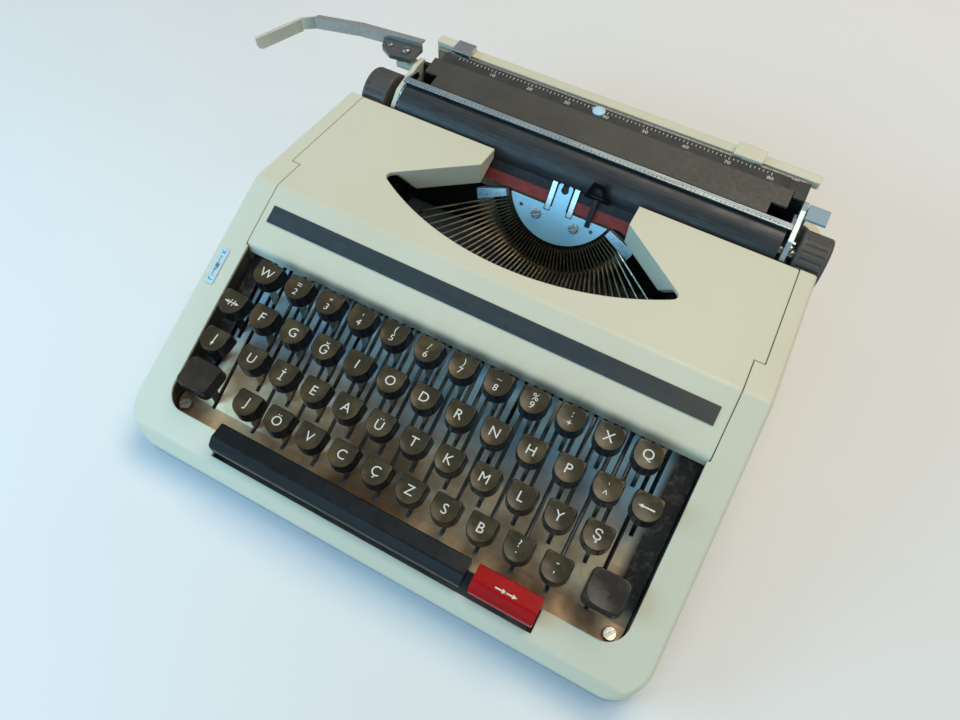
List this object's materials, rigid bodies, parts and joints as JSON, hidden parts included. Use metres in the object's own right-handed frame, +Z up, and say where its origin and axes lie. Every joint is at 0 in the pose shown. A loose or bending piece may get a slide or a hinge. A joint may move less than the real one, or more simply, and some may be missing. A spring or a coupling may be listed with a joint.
{
  "type": "portable typewriter",
  "caption": "Low portable manual typewriter with a sliding carriage, platen and knobs, return lever, lift-off ribbon cover, keyboard, typebars in a slotted segment and one working key train",
  "frame": {"origin": "on the desk plane, under the middle of the whole machine with its return lever folded at rest", "axes": "+X to the typist's right, +Y away from the typist, +Z up"},
  "size_m": [0.3688, 0.3, 0.093],
  "materials": {
    "ivory": "satin moulded plastic",
    "pale_blue": "light blue-grey enamel",
    "rubber": "matt black rubber",
    "label": "dark slate, bare",
    "steel": "brushed steel",
    "dark_steel": "dark japanned steel",
    "floor_steel": "zinc-plated sheet",
    "chrome": "polished chrome",
    "bar_metal": "bronzed steel with bright type",
    "key_brown": "glossy black-brown plastic",
    "key_red": "glossy red plastic",
    "bar_dark": "dark charcoal plastic",
    "ribbon": "inked cloth, black over red",
    "platen": "smooth black rubber",
    "knob": "dark brown-grey plastic",
    "table": "brown-grey enamel",
    "scale": "black enamel with white marks",
    "felt": "felt cushion cord",
    "spool": "black enamelled tinplate"
  },
  "bodies": {
    "body": {"base_pan": "pale_blue", "rubber_feet": "rubber", "upper_shell": "ivory", "chassis_plates": "dark_steel", "cross_plate": "dark_steel", "lever_rod": "steel", "carriage_rails": "chrome", "key_floor": "floor_steel", "frame_screws": "steel", "segment": "dark_steel", "fulcrum_wire": "steel", "type_guide": "steel", "typebar_bank": "bar_metal", "type_rest": "felt", "spool_cups": "dark_steel", "ribbon": "ribbon", "card_holder": "bar_dark", "selector_plate": "pale_blue"},
    "cover": {"ribbon_cover": "ivory", "label_strip": "label"},
    "selector": {"selector_slider": "chrome"},
    "left_reel": {"left_spool": "spool"},
    "right_reel": {"right_spool": "spool"},
    "vibrator": {"ribbon_vibrator": "steel"},
    "space": {"space_bar": "bar_dark"},
    "repeat": {"repeat_key": "key_red"},
    "shift": {"shift_keys": "key_brown"},
    "lock": {"shift_lock": "key_brown"},
    "margin_key": {"margin_release": "key_brown"},
    "backspace": {"backspace_key": "key_brown"},
    "carriage": {"carriage_truck": "dark_steel", "margin_rail": "steel", "rear_strip": "ivory"},
    "left_stop": {"left_margin_stop": "chrome"},
    "right_stop": {"right_margin_stop": "ivory"},
    "platen_frame": {"left_end_plate": "ivory", "right_end_plate": "chrome", "cradle": "dark_steel", "paper_table": "table", "scale_bar": "scale"},
    "platen": {"platen_core": "steel", "platen_rubber": "platen", "platen_knobs": "knob", "ratchet_wheel": "steel"},
    "feed": {"feed_roller": "rubber"},
    "bail": {"paper_bail": "steel"},
    "line_lever": {"return_lever": "chrome"},
    "paper_release": {"release_lever": "pale_blue"},
    "d_key": {"d_cap": "key_brown", "d_lever": "steel"},
    "d_bar": {"d_typebar": "bar_metal"},
    "row_1": {"row_1_caps": "key_brown", "row_1_levers": "steel"},
    "row_2": {"row_2_caps": "key_brown", "row_2_levers": "steel"},
    "row_3": {"row_3_caps": "key_brown", "row_3_levers": "steel"},
    "row_4": {"row_4_caps": "key_brown", "row_4_levers": "steel"}
  },
  "joints": [
    {"name": "row_1_press", "type": "hinge", "parent": "body", "child": "row_1", "pos_m": [0.03392, 0, 0.05], "axis": [1, 0, 0], "range_deg": [0, 7.7], "stiffness_Nm_per_rad": 0.5, "springref_deg": -20.05},
    {"name": "row_2_press", "type": "hinge", "parent": "body", "child": "row_2", "pos_m": [0.03392, 0, 0.05], "axis": [1, 0, 0], "range_deg": [0, 5.8], "stiffness_Nm_per_rad": 0.5, "springref_deg": -20.05},
    {"name": "row_3_press", "type": "hinge", "parent": "body", "child": "row_3", "pos_m": [0.03392, 0, 0.05], "axis": [1, 0, 0], "range_deg": [0, 4.7], "stiffness_Nm_per_rad": 0.5, "springref_deg": -20.05},
    {"name": "row_4_press", "type": "hinge", "parent": "body", "child": "row_4", "pos_m": [0.03392, 0, 0.05], "axis": [1, 0, 0], "range_deg": [0, 3.9], "stiffness_Nm_per_rad": 0.5, "springref_deg": -20.05},
    {"name": "d_press", "type": "hinge", "parent": "body", "child": "d_key", "pos_m": [0.03392, 0, 0.05], "axis": [1, 0, 0], "range_deg": [0, 5.8], "stiffness_Nm_per_rad": 0.06, "springref_deg": -17.19},
    {"name": "d_bar_swing", "type": "hinge", "parent": "body", "child": "d_bar", "pos_m": [0.03415, 0.05328, 0.03008], "axis": [-0.9997, 0.0138, 0.0213], "range_deg": [0, 108.32]},
    {"name": "space_press", "type": "hinge", "parent": "body", "child": "space", "pos_m": [0.03392, 0, 0.05], "axis": [1, 0, 0], "range_deg": [0, 2.1], "stiffness_Nm_per_rad": 0.5, "springref_deg": -14.32},
    {"name": "repeat_press", "type": "hinge", "parent": "body", "child": "repeat", "pos_m": [0.03392, 0, 0.05], "axis": [1, 0, 0], "range_deg": [0, 2.1], "stiffness_Nm_per_rad": 0.2, "springref_deg": -11.46},
    {"name": "shift_press", "type": "hinge", "parent": "body", "child": "shift", "pos_m": [0.03392, 0, 0.05], "axis": [1, 0, 0], "range_deg": [0, 4], "stiffness_Nm_per_rad": 0.5, "springref_deg": -17.19},
    {"name": "lock_press", "type": "hinge", "parent": "shift", "child": "lock", "pos_m": [0.03392, 0, 0.05], "axis": [1, 0, 0], "range_deg": [0, 1.5], "stiffness_Nm_per_rad": 0.1, "springref_deg": -17.19},
    {"name": "margin_press", "type": "hinge", "parent": "body", "child": "margin_key", "pos_m": [0.03392, 0, 0.05], "axis": [1, 0, 0], "range_deg": [0, 5.8], "stiffness_Nm_per_rad": 0.1, "springref_deg": -17.19},
    {"name": "backspace_press", "type": "hinge", "parent": "body", "child": "backspace", "pos_m": [0.03392, 0, 0.05], "axis": [1, 0, 0], "range_deg": [0, 5.8], "stiffness_Nm_per_rad": 0.1, "springref_deg": -17.19},
    {"name": "cover_lift", "type": "slide", "parent": "body", "child": "cover", "axis": [0, 0, 1], "range_m": [0, 0.04]},
    {"name": "selector_move", "type": "slide", "parent": "body", "child": "selector", "axis": [0, 0.9137, 0.4063], "range_m": [-0.0045, 0.0045]},
    {"name": "left_reel_turn", "type": "hinge", "parent": "body", "child": "left_reel", "pos_m": [-0.07008, 0.05, 0.06], "axis": [0, 0, 1], "continuous": true},
    {"name": "right_reel_turn", "type": "hinge", "parent": "body", "child": "right_reel", "pos_m": [0.13792, 0.05, 0.06], "axis": [0, 0, 1], "continuous": true},
    {"name": "vibrator_lift", "type": "slide", "parent": "body", "child": "vibrator", "axis": [0, 0, 1], "range_m": [0, 0.003]},
    {"name": "carriage_travel", "type": "slide", "parent": "body", "child": "carriage", "axis": [1, 0, 0], "range_m": [-0.104, 0.104]},
    {"name": "left_stop_set", "type": "slide", "parent": "carriage", "child": "left_stop", "axis": [1, 0, 0], "range_m": [-0.01, 0.085]},
    {"name": "right_stop_set", "type": "slide", "parent": "carriage", "child": "right_stop", "axis": [1, 0, 0], "range_m": [-0.08, 0.01]},
    {"name": "frame_lift", "type": "slide", "parent": "carriage", "child": "platen_frame", "axis": [0, 0, 1], "range_m": [0, 0.006]},
    {"name": "platen_turn", "type": "hinge", "parent": "platen_frame", "child": "platen", "pos_m": [0.03392, 0.1005, 0.069], "axis": [1, 0, 0], "continuous": true},
    {"name": "feed_turn", "type": "hinge", "parent": "platen_frame", "child": "feed", "pos_m": [0.03392, 0.1041, 0.0483], "axis": [1, 0, 0], "continuous": true},
    {"name": "bail_lift", "type": "hinge", "parent": "platen_frame", "child": "bail", "pos_m": [0.03392, 0.1135, 0.082], "axis": [-1, 0, 0], "range_deg": [0, 60]},
    {"name": "line_lever_pull", "type": "hinge", "parent": "platen_frame", "child": "line_lever", "pos_m": [-0.09708, 0.122, 0.088], "axis": [0, 0, 1], "range_deg": [0, 25], "stiffness_Nm_per_rad": 0.05, "springref_deg": -11.46},
    {"name": "paper_release_pull", "type": "hinge", "parent": "platen_frame", "child": "paper_release", "pos_m": [0.16492, 0.122, 0.066], "axis": [1, 0, 0], "range_deg": [0, 10]}
  ],
  "couplings": [
    {"joint": "d_bar_swing", "follows": "d_press", "ratio": 18.642},
    {"joint": "vibrator_lift", "follows": "d_press", "m_per_rad": 0.0295},
    {"joint": "shift_press", "follows": "frame_lift", "rad_per_m": 11.6},
    {"joint": "right_reel_turn", "follows": "left_reel_turn", "ratio": 0.756},
    {"joint": "feed_turn", "follows": "platen_turn", "ratio": -4.125}
  ]
}
